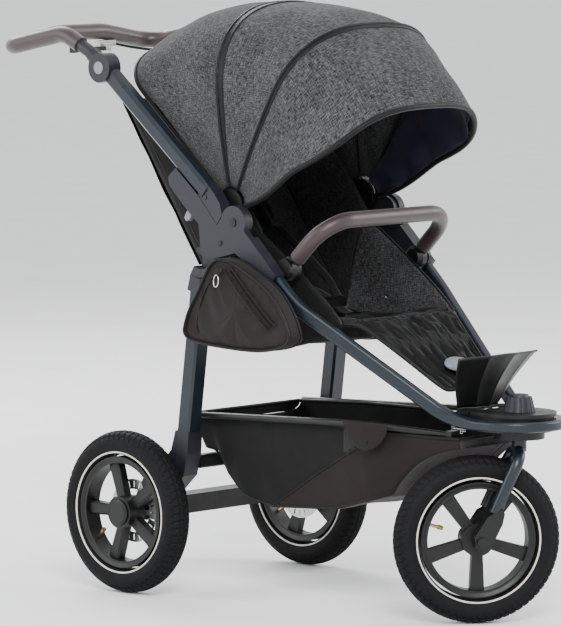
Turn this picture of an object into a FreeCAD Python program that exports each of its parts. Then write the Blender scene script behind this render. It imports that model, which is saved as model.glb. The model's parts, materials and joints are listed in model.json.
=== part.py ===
"""Three-wheeled baby stroller with an air-tyre front caster, built as separate pieces.

Frame: +Z up, the stroller faces -Y, +X is the child's left. The origin is on the floor under
the middle of the bounding box. Millimetres.
"""
import FreeCAD, Part
import math
import os

V = FreeCAD.Vector
os.makedirs("parts", exist_ok=True)

# ---------------------------------------------------------------- driving dimensions
WHEEL_R = 150.0          # 12 inch air tyre, 300 mm over the tread
TYRE_HALF = 26.5         # half the tyre's width
RIM_SEAT_R = 103.0       # the tyre sits on this radius
RIM_WINDOW_R = 91.0      # inside of the rim barrel
HUB_R = 29.5
SPOKES = 5
TRACK_HALF = 240.0       # rear wheel centre planes
AXLE_Y = 220.0
AXLE_R = 6.0
RUNNING_GAP = 0.05       # radial clearance of a turning fit
BODY_GAP = 0.5           # gap between faces of pieces that move past each other

STEER_Y = -524.0         # steering axis of the caster
TRAIL = 77.0             # caster wheel centre behind the steering axis
SWIVEL = 53.13           # rest turn of the caster, degrees
STEM_R = 13.0

TUBE_X = 198.0           # front tubes at the hinge housings
TUBE_W, TUBE_H = 20.0, 26.0
NOSE_Z = 355.5           # centre height of the tube loop round the nose
NOSE_R = 79.0            # bend of the loop's centre line
NOSE_HALF = 72.0
NOSE_FRONT = -596.0      # centre line of the loop's front

FOLD_Y, FOLD_Z = -26.0, 695.0      # push bar hinge
LEG_Y, LEG_Z = 62.0, 640.0         # rear leg hinge
TILT_Y, TILT_Z = 312.0, 962.0      # handlebar adjuster
HUB_Y, HUB_Z = 13.0, 722.0         # canopy hub
ARM_X, ARM_W = 203.0, 28.0         # push bar arms
HOUSE_IN, HOUSE_OUT = 189.0, 214.0
LUG_OUT = 199.2

LEG_X, LEG_W, LEG_D = 188.0, 35.0, 31.0
LEG_TOP = (70.0, 627.0)
LEG_FOOT = (112.0, 303.0)

GRIP_R, BAR_R = 15.5, 12.0
HANDLE_X = 198.0

BACK_Y, BACK_Z = 48.0, 498.0       # backrest hinge
BUMPER_Y, BUMPER_Z = -126.0, 615.0

# canopy shells, from the inside out: half width and crown radius of the outer face
SHELL = 3.0
REAR_SHELL = (175.0, 366.0)
MID_SHELL = (181.0, 374.0)
FRONT_SHELL = (187.0, 384.0)
BOW_1_SHELL = (169.0, 360.0)
CANOPY_ANGLES = (-48.0, -6.0, 29.5, 66.0)   # from vertical, forwards positive


# ---------------------------------------------------------------- helpers
def save(name, *shapes):
    """Write one node: a single solid, or a compound of separate ones."""
    shape = shapes[0] if len(shapes) == 1 else Part.makeCompound(list(shapes))
    shape.exportStep("parts/%s.step" % name)
    print("%-24s %2d solid(s) %s" % (name, len(shape.Solids), shape.isValid()))


def mirrored(shape):
    return shape.mirror(V(0, 0, 0), V(1, 0, 0))


def save_pair(name, *left):
    """The same piece on both sides, one node each. +X is the left side."""
    save(name + "_left", *left)
    save(name + "_right", *[mirrored(shape) for shape in left])


def save_both(name, *left):
    """The same piece on both sides of one body, in one node."""
    save(name, *left, *[mirrored(shape) for shape in left])


def prism(outline, x0, x1):
    """A (y, z) outline extruded along X."""
    points = [V(x0, y, z) for y, z in outline]
    face = Part.Face(Part.makePolygon(points + points[:1]))
    return face.extrude(V(x1 - x0, 0, 0))


def rod_x(y, z, radius, x0, x1):
    return Part.makeCylinder(radius, x1 - x0, V(x0, y, z), V(1, 0, 0))


def ring_x(y, z, outer, inner, x0, x1):
    return rod_x(y, z, outer, x0, x1).cut(rod_x(y, z, inner, x0 - 1, x1 + 1))


def box(x0, x1, y0, y1, z0, z1):
    return Part.makeBox(x1 - x0, y1 - y0, z1 - z0, V(x0, y0, z0))


def bent_wire(points, radii):
    """Straight runs joined by tangent arcs."""
    points = [V(*p) for p in points]
    edges, start = [], points[0]
    for before, corner, after, radius in zip(points, points[1:], points[2:], radii):
        into = (corner - before).normalize()
        out = (after - corner).normalize()
        turn = into.getAngle(out)
        reach = radius * math.tan(turn / 2)
        a, b = corner - into * reach, corner + out * reach
        bisector = (out - into).normalize()
        middle = corner + bisector * (radius / math.cos(turn / 2) - radius)
        edges.append(Part.makeLine(start, a))
        edges.append(Part.Arc(a, middle, b).toShape())
        start = b
    edges.append(Part.makeLine(start, points[-1]))
    return Part.Wire(edges)


def round_tube(points, radii, radius):
    wire = bent_wire(points, radii)
    direction = V(*points[1]) - V(*points[0])
    circle = Part.Wire(Part.makeCircle(radius, V(*points[0]), direction))
    return wire.makePipeShell([circle], True, False)


def rounded_tube(points, radii, width, height, corner):
    """A flat-sided tube swept with its sides kept upright."""
    wire = bent_wire(points, radii)
    along = (V(*points[1]) - V(*points[0])).normalize()
    side = V(0, 0, 1).cross(along).normalize()
    up = along.cross(side)
    base, arcs = V(*points[0]), []
    w, h = width / 2, height / 2
    for sa, sb in ((1, 1), (-1, 1), (-1, -1), (1, -1)):
        centre = base + side * (sa * (w - corner)) + up * (sb * (h - corner))
        ends = [centre + side * (sa * corner), centre + up * (sb * corner)]
        if sa * sb < 0:
            ends.reverse()
        bulge = centre + (side * sa + up * sb).normalize() * corner
        arcs.append((ends[0], bulge, ends[1]))
    edges = []
    for k, (a, m, b) in enumerate(arcs):
        edges.append(Part.Arc(a, m, b).toShape())
        edges.append(Part.makeLine(b, arcs[(k + 1) % 4][0]))
    sweep = Part.BRepOffsetAPI.MakePipeShell(wire)
    sweep.setBiNormalMode(V(0, 0, 1))
    sweep.add(Part.Wire(edges))
    sweep.build()
    sweep.makeSolid()
    return sweep.shape()


def bar_yz(p, q, x, width, depth, bevel):
    """A bevelled straight bar between two (y, z) points, centred on x."""
    a, b = V(x, *p), V(x, *q)
    along = (b - a).normalize()
    side, up = V(1, 0, 0), along.cross(V(1, 0, 0))
    w, d = width / 2, depth / 2
    outline = [(w, d - bevel), (w - bevel, d), (bevel - w, d), (-w, d - bevel),
               (-w, bevel - d), (bevel - w, -d), (w - bevel, -d), (w, bevel - d)]
    points = [a + side * s + up * u for s, u in outline]
    return Part.Face(Part.makePolygon(points + points[:1])).extrude(b - a)


# ---------------------------------------------------------------- wheels, axle along X at the origin
def tyre():
    seat = 21.0
    middle_r, bulge = 124.5, 25.5
    crown = Part.makePolygon([V(-seat, RIM_SEAT_R, 0), V(seat, RIM_SEAT_R, 0)])
    side_a = Part.Arc(V(seat, RIM_SEAT_R, 0), V(TYRE_HALF, middle_r, 0), V(14, 147.4, 0)).toShape()
    tread = Part.Arc(V(14, 147.4, 0), V(0, WHEEL_R, 0), V(-14, 147.4, 0)).toShape()
    side_b = Part.Arc(V(-14, 147.4, 0), V(-TYRE_HALF, middle_r, 0), V(-seat, RIM_SEAT_R, 0)).toShape()
    face = Part.Face(Part.Wire(crown.Edges + [side_a, tread, side_b]))
    return face.revolve(V(0, 0, 0), V(1, 0, 0), 360)


def rim(first_spoke, bore_r):
    """Barrel with lips, tapered spokes and hub in one moulding."""
    lip, deep = 20.0, 17.0
    section = [(-lip, RIM_SEAT_R - 2), (-lip, RIM_SEAT_R), (lip, RIM_SEAT_R), (lip, RIM_SEAT_R - 2),
               (deep, 95), (deep, RIM_WINDOW_R), (-deep, RIM_WINDOW_R), (-deep, 95)]
    points = [V(x, r, 0) for x, r in section]
    body = Part.Face(Part.makePolygon(points + points[:1])).revolve(V(0, 0, 0), V(1, 0, 0), 360)
    hub = rod_x(0, 0, HUB_R, -16, 22)
    body = body.fuse(hub)
    for k in range(SPOKES):
        angle = math.radians(first_spoke + 360.0 / SPOKES * k)
        ends = []
        for radius, half_wide, half_deep in ((20, 9.5, 10), (RIM_WINDOW_R + 2, 13, 9)):
            corners = []
            for x, t in ((-half_deep, -half_wide), (half_deep - 3, -half_wide), (half_deep, -half_wide + 4),
                         (half_deep, half_wide - 4), (half_deep - 3, half_wide), (-half_deep, half_wide)):
                y = radius * math.cos(angle) - t * math.sin(angle)
                z = radius * math.sin(angle) + t * math.cos(angle)
                corners.append(V(x, y, z))
            ends.append(Part.makePolygon(corners + corners[:1]))
        body = body.fuse(Part.makeLoft(ends, True, True))
    return body.cut(rod_x(0, 0, bore_r, -40, 40)).removeSplitter()


def valve(angle):
    """Bent brass valve stem through the rim barrel."""
    a = math.radians(angle)
    out = V(0, math.cos(a), math.sin(a))
    foot = out * (RIM_WINDOW_R - 0.5)
    lean = (V(0.35, 0, 0) - out).normalize()
    stem = Part.makeCylinder(3.0, 20, foot, lean)
    cap = Part.makeCylinder(4.2, 9, foot + lean * 20, lean)
    return stem.fuse(cap)


def brake_disc():
    """Slotted steel disc bolted to the hub's inner end."""
    disc = ring_x(0, 0, 58.5, 40.0, -19, -17)
    carrier = ring_x(0, 0, 24.0, AXLE_R + 2, -19, -17)
    disc = disc.fuse(carrier)
    for k in range(5):
        arm = box(-19, -17, -4.5, 4.5, 20, 44)
        arm.rotate(V(0, 0, 0), V(1, 0, 0), 72 * k + 20)
        disc = disc.fuse(arm)
    slots = []
    for k in range(24):
        slot = box(-20, -16, -1.6, 1.6, 43.5, 54.5)
        slot.rotate(V(0, 0, 0), V(1, 0, 0), 15 * k)
        slots.append(slot)
    return disc.cut(Part.makeCompound(slots)).removeSplitter()


def hub_cap(x):
    cap = rod_x(0, 0, 24.0, x, x + 3.0)
    return cap.fuse(Part.makeCone(24.0, 19.0, 3.0, V(x + 3.0, 0, 0), V(1, 0, 0)))


def place_rear(shape):
    shape.translate(V(TRACK_HALF, AXLE_Y, WHEEL_R))
    return shape


def rear_wheels():
    moulding = place_rear(rim(0, AXLE_R + RUNNING_GAP))
    save_pair("rear_rim", moulding, place_rear(hub_cap(22.0)))
    stem = place_rear(valve(-36)).cut(moulding)
    save_pair("rear_valve", stem)
    for name, piece in (("rear_tyre", tyre()), ("brake_disc", brake_disc())):
        save_pair(name, place_rear(piece))


def steered(shape):
    """From straight ahead to the rest turn of the caster."""
    shape.rotate(V(0, STEER_Y, 0), V(0, 0, 1), SWIVEL)
    return shape


def front_wheel():
    moulding = rim(-90, AXLE_R + RUNNING_GAP)
    for name, piece in (("front_tyre", tyre()), ("front_rim", moulding.copy()),
                        ("front_valve", valve(18).cut(moulding))):
        piece.translate(V(0, STEER_Y + TRAIL, WHEEL_R))
        save(name, steered(piece))


# ---------------------------------------------------------------- caster fork
def fork():
    blade_x, foot, crown = 40.0, (52.0, 200.0), (4.0, 305.0)
    points = [(-blade_x, STEER_Y + foot[0], foot[1]), (-blade_x, STEER_Y + crown[0], crown[1]),
              (blade_x, STEER_Y + crown[0], crown[1]), (blade_x, STEER_Y + foot[0], foot[1])]
    blades = round_tube(points, [30, 30], 11.0)
    stem = Part.makeCylinder(STEM_R, 62, V(0, STEER_Y, 305))
    save("fork", steered(blades.fuse(stem).removeSplitter()))

    bottom = [(40, 209), (66, 196), (90, 160), (88, 140), (70, 132), (60, 142), (40, 182), (36, 200)]
    shoe = prism([(STEER_Y + y, z) for y, z in bottom], 28.5, 51.5)
    socket = Part.makeCylinder(11.05, 30, V(blade_x, STEER_Y + 52, 200), V(0, -48, 105))
    shoe = shoe.cut(socket).cut(rod_x(STEER_Y + TRAIL, WHEEL_R, AXLE_R, 0, 60))
    far_shoe = mirrored(shoe)
    save("fork_dropouts", steered(shoe), steered(far_shoe))

    pin = rod_x(STEER_Y + TRAIL, WHEEL_R, AXLE_R, -54, 54)
    head = rod_x(STEER_Y + TRAIL, WHEEL_R, 9.0, 51.7, 57)
    spacer = ring_x(STEER_Y + TRAIL, WHEEL_R, 10.0, AXLE_R, 22.5, 28.3)
    inner = ring_x(STEER_Y + TRAIL, WHEEL_R, 10.0, AXLE_R, -28.3, -16.5)
    axle = pin.fuse([head, mirrored(head), spacer, inner])
    save("front_axle", steered(axle))


def steering_head():
    """Moulded block inside the tube loop, its bearing disc below and its cover above."""
    inside = NOSE_HALF - TUBE_W / 2 - 2.5
    block = Part.makeCylinder(inside, 27, V(0, STEER_Y, 342))
    block = block.fuse(box(-inside, inside, STEER_Y, -462, 342, 369))
    bearing = Part.makeCylinder(45, 13.5, V(0, STEER_Y, 328.5))
    bore = Part.makeCylinder(STEM_R + RUNNING_GAP, 80, V(0, STEER_Y, 320))
    save("steering_head", block.fuse(bearing).cut(bore).removeSplitter())
    cover = Part.makeCylinder(66, 6.5, V(0, STEER_Y, 369.2))
    cover = cover.fuse(box(-62, 62, STEER_Y, -462, 369.2, 375.7))
    save("head_cover", cover.removeSplitter())
    base_r, top_r = 28.5, 22.0
    knob = Part.makeCone(base_r, top_r, 26, V(0, STEER_Y, 376.2))
    ribs = []
    for k in range(16):
        groove = Part.makeCylinder(1.6, 30, V(base_r + 0.2, STEER_Y, 375), V(-0.25, 0, 1))
        groove.rotate(V(0, STEER_Y, 0), V(0, 0, 1), 22.5 * k)
        ribs.append(groove)
    cap = Part.makeCone(17.5, 15.5, 4, V(0, STEER_Y, 402.3))
    save("swivel_knob", knob.cut(Part.makeCompound(ribs)), cap)


# ---------------------------------------------------------------- front frame and hinge housings
def front_frame():
    """One flat-sided tube from housing to housing, looping round the nose. Returns its clearance."""
    side = [(TUBE_X, -122, 594), (TUBE_X, -165, 552), (88, -450, NOSE_Z), (NOSE_HALF, NOSE_FRONT, NOSE_Z)]
    points = side + [(-x, y, z) for x, y, z in reversed(side)]
    radii = [150, 160, NOSE_R, NOSE_R, 160, 150]
    left = box(0, 300, -700, 0, 200, 700)
    tube = rounded_tube(points, radii, TUBE_W, TUBE_H, 7.0).common(left)
    save("front_frame", tube.fuse(mirrored(tube)).removeSplitter())
    return rounded_tube(points, radii, TUBE_W + 0.3, TUBE_H + 0.3, 7.0).common(left)


def hinge_housings(tube):
    """Moulded joint of push bar, rear leg and front tube, with its rear arm and front sleeve."""
    plate = [(119, 786.5), (138, 770), (136, 755), (102, 722), (61, 688), (58, 663), (56, 632),
             (21, 628), (-8, 634), (-30, 640), (-46, 631), (-108, 575), (-136, 602), (-50, 684),
             (-56, 690), (-20, 724), (0, 706), (14, 688), (61, 738.5)]
    body = prism(plate, HOUSE_IN, HOUSE_OUT)
    body = body.fuse(rod_x(FOLD_Y, FOLD_Z, 30, HOUSE_IN, HOUSE_OUT))
    knuckle = rod_x(FOLD_Y, FOLD_Z, 47, HOUSE_IN - 5, LUG_OUT + 0.4)
    body = body.cut(knuckle)
    start = V(TUBE_X, -122, 594)
    tube_end = box(TUBE_X - 10.2, TUBE_X + 10.2, -175, -122, 545, 610)
    body = body.cut(tube_end.common(prism([(-122, 610), (-122, 594), (-165, 552), (-175, 545)], 180, 220)))
    body = body.cut(rod_x(LEG_Y, LEG_Z, 6, 180, 220)).cut(rod_x(FOLD_Y, FOLD_Z, 5, 180, 220))
    end_cut = Part.makeBox(60, 60, 60, V(-30, -30, 0))
    end_cut.Placement = FreeCAD.Placement(start, FreeCAD.Rotation(V(0, 0, 1), V(0, -43, -42)))
    save_both("hinge_housings", body.cut(end_cut).cut(tube).removeSplitter())
    bolts = rod_x(FOLD_Y, FOLD_Z, 5, HOUSE_IN + 0.2, HOUSE_OUT)
    bolts = bolts.fuse(rod_x(FOLD_Y, FOLD_Z, 8, HOUSE_OUT, HOUSE_OUT + 2))
    leg_bolt = rod_x(LEG_Y, LEG_Z, 6, LEG_X - 20, HOUSE_OUT - 2)
    screw = rod_x(6, 656, 5, HOUSE_OUT, HOUSE_OUT + 1.5)
    save_both("hinge_bolts", bolts, leg_bolt, screw)
    lever = prism([(93, 712), (84, 704), (90, 694), (99, 690), (104, 696), (98, 708)], 195, 207)
    save_pair("release_lever", lever)


def rails():
    """Basket rails, from beside the rear legs to under the nose."""
    points = [(157, 150, 329), (157, -300, 348), (92, -440, 334)]
    rail = round_tube(points, [150], 6.0)
    clamp = box(78, 100, -452, -438, 327, 342.3)
    rail = rail.fuse(clamp).removeSplitter()
    save_both("basket_rails", rail)


# ---------------------------------------------------------------- push bar and handlebar
def push_bar():
    start, end = (52, 752), (262, 923)
    save_both("push_bars", bar_yz(start, end, ARM_X, ARM_W, 30, 6))
    wedge = [(62, 741.5), (14.3, 689.8), (1.5, 707), (7, 727), (21, 745), (42.5, 764)]
    socket = prism(wedge, HOUSE_IN, HOUSE_OUT)
    lug = rod_x(FOLD_Y, FOLD_Z, 26, HOUSE_IN, LUG_OUT)
    arm = prism([(-26, 716), (8, 722), (20, 712), (16, 693), (-10, 674)], HOUSE_IN, LUG_OUT)
    outer = rod_x(FOLD_Y, FOLD_Z, 31, LUG_OUT, HOUSE_OUT + 1)
    socket = socket.cut(outer).fuse(lug).fuse(arm)
    socket = socket.cut(rod_x(FOLD_Y, FOLD_Z, 5 + RUNNING_GAP, 180, 220))
    shell = bar_yz((44, 745.5), (60, 758.5), ARM_X, ARM_W, 30, 6)
    socket = socket.cut(bar_yz(start, end, ARM_X, ARM_W, 30, 6)).fuse(shell.common(
        prism([(40, 770), (52, 752), (61.5, 740.4), (30, 720)], HOUSE_IN, HOUSE_OUT + 3)))
    socket = socket.cut(bar_yz(start, end, ARM_X, ARM_W, 30, 6))
    screw = rod_x(44, 737, 4.5, HOUSE_OUT, HOUSE_OUT + 1.5)
    save_both("push_bar_sockets", socket.fuse(screw).removeSplitter())


def adjusters():
    """Toothed tilt joints: a lower shell on the arm and a turning disc on the handlebar."""
    x_in, x_mid, x_out = 190.0, 206.0, 220.0
    neck = bar_yz((262, 923), (298, 952), ARM_X, 26, 30, 6)
    lower = neck.fuse(rod_x(TILT_Y, TILT_Z, 27.5, x_in, x_mid - BODY_GAP))
    lower = lower.cut(rod_x(TILT_Y, TILT_Z, 28.2, x_mid - BODY_GAP, x_out + 4))
    lower = lower.cut(rod_x(TILT_Y, TILT_Z, 8 + RUNNING_GAP, 180, 230))
    lower = lower.cut(bar_yz((52, 752), (262, 923), ARM_X, ARM_W, 30, 6))
    save_both("adjuster_shells", lower.removeSplitter())
    disc = rod_x(TILT_Y, TILT_Z, 27.5, x_mid, x_out)
    disc = disc.fuse(rod_x(TILT_Y, TILT_Z, 8, x_in, x_out))
    well = rod_x(TILT_Y, TILT_Z, 11.8, x_out - 8, x_out + 1)
    stub = bar_yz((330, 974), (350, 986), 199, 26, 27, 7).cut(rod_x(TILT_Y, TILT_Z, 28.4, 180, x_mid))
    tube_end = Part.makeCylinder(BAR_R, 40, V(HANDLE_X, 350, 986), V(0, 75, 36))
    save_both("adjuster_discs", disc.fuse(stub).cut(well).cut(tube_end).removeSplitter())
    save_pair("adjuster_button", rod_x(TILT_Y, TILT_Z, 11.5, x_out - 3.5, x_out + 1.5))


def handlebar():
    side = [(HANDLE_X, 350, 986), (HANDLE_X, 425, 1022), (HANDLE_X, 591.5, 988), (60, 591.5, 1013)]
    points = side + [(-x, y, z) for x, y, z in reversed(side)]
    radii = [85, 48, 150, 150, 48, 85]
    bar = round_tube(points, radii, BAR_R)
    save("handlebar_tube", bar)
    t = 0.42
    first, second = V(*side[0]), V(*side[1])
    grip_start = first + (second - first) * t
    grip_points = [tuple(grip_start)] + side[1:]
    grip_points += [(-x, y, z) for x, y, z in reversed(grip_points)]
    outer = round_tube(grip_points, [60] + radii[1:-1] + [60], GRIP_R)
    inner = round_tube(grip_points, [60] + radii[1:-1] + [60], BAR_R)
    save("handlebar_grip", outer.cut(inner))
    bracket = box(42, 84, 576, 590, 984, 996).fuse(box(48, 62, 566, 590, 976, 990))
    save("brake_bracket", bracket.cut(outer).removeSplitter())
    lever = box(-34, 47.5, 567, 574.5, 977, 985)
    lever = lever.fuse(box(-40, -30, 565, 576, 975, 987)).removeSplitter()
    save("brake_lever", lever)
    cable = round_tube([(84.2, 583, 989), (128, 574, 980), (166, 548, 974), (177, 500, 980),
                        (178, 452, 990), (181, 405, 992)], [95, 60, 60, 150, 150], 2.5)
    save("brake_cable", cable)


# ---------------------------------------------------------------- rear legs and axle
def rear_legs():
    leg = bar_yz((75, 590), LEG_FOOT, LEG_X, LEG_W, LEG_D, 4)
    save_both("rear_legs", leg)
    cuff = prism([(76, 616), (44, 616), (50, 589.7), (91, 589.9)], LEG_X - 19, LEG_X + 19)
    wrap = bar_yz((75.2, 589.5), (83, 562), LEG_X, LEG_W + 5, LEG_D + 5, 5)
    cuff = cuff.fuse(wrap).cut(bar_yz((74.99, 590), LEG_FOOT, LEG_X, LEG_W, LEG_D, 4))
    lug = rod_x(LEG_Y, LEG_Z, 20, LEG_X - 19, HOUSE_IN - 2)
    link = prism([(44, 640), (80, 640), (76, 610), (46, 610)], LEG_X - 19, HOUSE_IN - 2)
    clear = rod_x(LEG_Y, LEG_Z, 35, HOUSE_IN - 2, LEG_X + 30)
    cuff = cuff.cut(clear).fuse(lug).fuse(link).cut(rod_x(LEG_Y, LEG_Z, 6 + RUNNING_GAP, 150, 230))
    cuff = cuff.removeSplitter()
    foot = [(95, 303), (129, 305), (140, 268), (232, 172), (240, 150), (230, 133), (204, 132),
            (108, 222), (98, 262)]
    foot = prism(foot, LEG_X - 18, LEG_X + 18)
    foot = foot.cut(bar_yz((75, 590), LEG_FOOT, LEG_X, LEG_W, LEG_D, 4))
    foot = foot.cut(rod_x(AXLE_Y, WHEEL_R, AXLE_R, 150, 230))
    save_both("leg_sockets", cuff, foot)
    inside = LEG_X - 18
    beam = box(-inside, inside, 196, 238, 152, 170).fuse(box(-inside, inside, 202, 232, 134, 152))
    beam = beam.cut(rod_x(AXLE_Y, WHEEL_R, AXLE_R, -200, 200))
    save("rear_axle_beam", beam.removeSplitter())
    save("rear_crossbar", prism([(98, 237), (101, 234), (119, 234), (122, 237), (122, 255), (119, 258),
                                 (101, 258), (98, 255)], -inside, inside))
    axle = rod_x(AXLE_Y, WHEEL_R, AXLE_R, -261, 261)
    spacer = ring_x(AXLE_Y, WHEEL_R, 11, AXLE_R, LEG_X + 18, 220.4)
    save("rear_axle", axle.fuse(spacer).fuse(mirrored(spacer)).removeSplitter())
    caliper = prism([(186, 186), (166, 196), (150, 226), (162, 236), (186, 222), (196, 204)], 207, 228)
    slot = rod_x(AXLE_Y, WHEEL_R, 60.5, 219, 225).cut(rod_x(AXLE_Y, WHEEL_R, 5, 200, 230))
    post = box(206, 212, 150, 178, 186, 214)
    caliper = caliper.cut(slot).cut(rod_x(AXLE_Y, WHEEL_R, 40, 200, 230))
    barrel = ring_x(AXLE_Y, WHEEL_R, 140, RIM_WINDOW_R - 4, 217, 240)
    caliper = caliper.cut(barrel).cut(ring_x(AXLE_Y, WHEEL_R, 140, 99, 200, 240)).fuse(post)
    save_both("brake_calipers", caliper)


# ---------------------------------------------------------------- canopy
def arch_profile(half, crown, start):
    """The (x, r) outline of one bow: straight legs, elliptical shoulders."""
    shoulder = 0.7 * crown
    rise = crown - shoulder
    points = [V(half, start, 0), V(half, shoulder, 0)]
    ellipse = Part.Ellipse(V(half, shoulder, 0), V(0, shoulder + rise, 0), V(0, shoulder, 0))
    return points, ellipse


def arch_face(outer, start, thickness):
    """Closed section between an outer arch and the same arch drawn in by the thickness."""
    half, crown = outer
    loops = []
    for inset in (0, thickness):
        points, ellipse = arch_profile(half - inset, crown - inset, start)
        a, b = points
        top = V(0, crown - inset, 0)
        arc = Part.Arc(ellipse, 0, math.pi / 2).toShape()
        right = [Part.makeLine(a, b), arc]
        left = [edge.mirror(V(0, 0, 0), V(1, 0, 0)) for edge in right]
        loops.append((right + left, a))
    edges = loops[0][0] + loops[1][0]
    for sign in (1, -1):
        edges.append(Part.makeLine(V(sign * loops[0][1].x, start, 0), V(sign * loops[1][1].x, start, 0)))
    return Part.Face(Part.Wire(Part.__sortEdges__(edges)))


def shell(outer, from_angle, to_angle, start=32.0, thickness=SHELL):
    """A canopy layer between two angles, as a surface of revolution about the hub axis."""
    face = arch_face(outer, start, thickness)
    face.rotate(V(0, 0, 0), V(1, 0, 0), 90 + from_angle)
    solid = face.revolve(V(0, 0, 0), V(1, 0, 0), to_angle - from_angle)
    solid.translate(V(0, HUB_Y, HUB_Z))
    return solid


def bow(outer, angle, width=2.2):
    """Flat strip on an edge angle with a ring round the hub pin at each foot."""
    half = outer[0]
    strip = shell(outer, angle - width / 2, angle + width / 2, 26.0)
    ring = ring_x(HUB_Y, HUB_Z, 30, 8 + RUNNING_GAP, half - SHELL, half)
    return strip.fuse(ring).fuse(mirrored(ring)).removeSplitter()


def canopy():
    rear, first, second, front = CANOPY_ANGLES
    edge = 1.2
    pin = rod_x(HUB_Y, HUB_Z, 8, 164, 188)
    disc = rod_x(HUB_Y, HUB_Z, 18, 160, 164)
    hub = pin.fuse(disc).removeSplitter()
    half = REAR_SHELL[0]
    strip = shell(REAR_SHELL, rear - 2.4, rear, 26.0)
    ring = ring_x(HUB_Y, HUB_Z, 30, 8, half - SHELL, half)
    save("canopy_hubs", strip.fuse([ring, mirrored(ring), hub, mirrored(hub)]).removeSplitter())
    save("canopy_rear_panel", shell(REAR_SHELL, rear, first))
    save("canopy_bow_1", bow(BOW_1_SHELL, first))
    save("canopy_bow_2", bow(MID_SHELL, second))
    save("canopy_mid_panel", shell(MID_SHELL, first, second - edge))
    save("canopy_front_bow", bow(FRONT_SHELL, front))
    save("canopy_front_panel", shell(FRONT_SHELL, second, front - edge))


# ---------------------------------------------------------------- seat unit
def seat():
    inside = 149.0
    cushion = [(38, 512), (-100, 506), (-222, 534), (-222, 504), (-110, 472), (-3, 456), (38, 474)]
    save("seat_cushion", prism(cushion, -inside, inside))
    panel = [(36, 520), (-6, 668), (-40, 672), (-214, 545), (-222, 505), (-108, 470), (-3, 455), (36, 474)]
    save_both("side_panels", prism(panel, 150.0, 153.0))
    lean = math.radians(34.5)
    up, ahead = (math.sin(lean), math.cos(lean)), (-math.cos(lean), math.sin(lean))

    def at(along, out):
        return (BACK_Y + along * up[0] + out * ahead[0], BACK_Z + along * up[1] + out * ahead[1])

    back = [at(24, 0), at(480, 0), at(480, 34), at(24, 34)]
    save("backrest", prism(back, -147, 147))
    pads = []
    for x in (-62, 30):
        pads.append(prism([at(170, 34.4), at(340, 34.4), at(340, 42), at(170, 42)], x, x + 32))
    save("shoulder_pads", *pads)
    buckle = prism([(-92, 548), (-84, 512), (-70, 512), (-74, 550)], -19, 19)
    save("harness_buckle", buckle)
    tops, feet = [(-252, 526), (-248, 504)], [(-415, 414), (-402, 397)]
    sections = []
    for (upper, lower), half in ((tops, 146), (feet, 76)):
        corners = [V(-half, *upper), V(half, *upper), V(half, *lower), V(-half, *lower)]
        sections.append(Part.makePolygon(corners + corners[:1]))
    calf = Part.makeLoft(sections, True, True)
    save("leg_rest", calf)


def bumper():
    """Padded bar across the seat on two ball ends, with its fixed mounts."""
    x = 168.0
    points = [(x, -143, 634), (x - 2, -214, 704), (2 - x, -214, 704), (-x, -143, 634)]
    save("bumper_bar", round_tube(points, [62, 62], 14.5))
    wide, narrow, first, last, slope = 22.0, 15.0, 155.5, 181.0, 7.0
    knob = rod_x(BUMPER_Y, BUMPER_Z, wide, first + slope, last - slope)
    knob = knob.fuse(Part.makeCone(narrow, wide, slope, V(first, BUMPER_Y, BUMPER_Z), V(1, 0, 0)))
    knob = knob.fuse(Part.makeCone(wide, narrow, slope, V(last - slope, BUMPER_Y, BUMPER_Z), V(1, 0, 0)))
    neck = Part.makeCylinder(11.5, 25, V(x, BUMPER_Y, BUMPER_Z), V(0, -17, 19))
    save_both("bumper_ends", knob.fuse(neck).removeSplitter())
    mount = rod_x(BUMPER_Y, BUMPER_Z, 19, 181.5, HOUSE_IN - 1)
    save_both("bumper_mounts", mount)


def footrest():
    """Fan-shaped scoop standing on the nose."""
    def outline(halves, front, z, thick):
        ahead = [V(x, y, z) for x, y in zip(halves, front)]
        return ahead + [V(p.x * 0.97, p.y + thick, z) for p in reversed(ahead)]
    low = outline((-59, -36, 0, 36, 59), (-428, -441, -446, -441, -428), 378, 5)
    high = outline((-107, -62, 0, 62, 107), (-474, -496, -503, -496, -474), 472, 5)
    scoop = Part.makeLoft([Part.makePolygon(p + p[:1]) for p in (low, high)], True, True)
    save("footrest", scoop)
    save("footrest_base", box(-52, 52, -455, -423, 376.0, 378.0).fuse(
        box(-62, -50, -458, -430, 369.5, 377.5)).fuse(box(50, 62, -458, -430, 369.5, 377.5)))


def caster_sweep(margin):
    """Everything that the front tyre can reach, with a margin."""
    disc = Part.makeCircle(WHEEL_R + margin, V(TRAIL, 0, WHEEL_R), V(0, 1, 0))
    half = Part.Face(Part.Wire(disc)).common(Part.makeBox(400, 1, 600, V(0, 0, -100)))
    swept = half.revolve(V(0, 0, 0), V(0, 0, 1), 360)
    swept.translate(V(0, STEER_Y, 0))
    return swept


def basket():
    """Cloth basket hung between the rails, open on top, its front lifted over the caster."""
    outside = [(150, 320), (126, 264), (92, 261.5), (78, 226), (30, 184), (-41, 170), (-195, 180),
               (-412, 244), (-484, 300), (-492, 322)]
    inside = [(144, 323), (122, 269), (88, 266.5), (73, 230), (27, 190), (-41, 175), (-195, 185),
              (-410, 249), (-479, 302), (-487, 323)]
    outer = prism(outside, -146, 146).cut(caster_sweep(8))
    hollow = prism(inside, -141, 141).cut(caster_sweep(13))
    save("basket", outer.cut(hollow))


def side_bag():
    outline = [(-24, 632), (-2, 618), (24, 575), (57, 519), (52, 483), (-52, 472), (-148, 475),
               (-200, 500), (-156, 574), (-70, 622)]
    save("side_bag", prism(outline, -258, -217))


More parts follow.
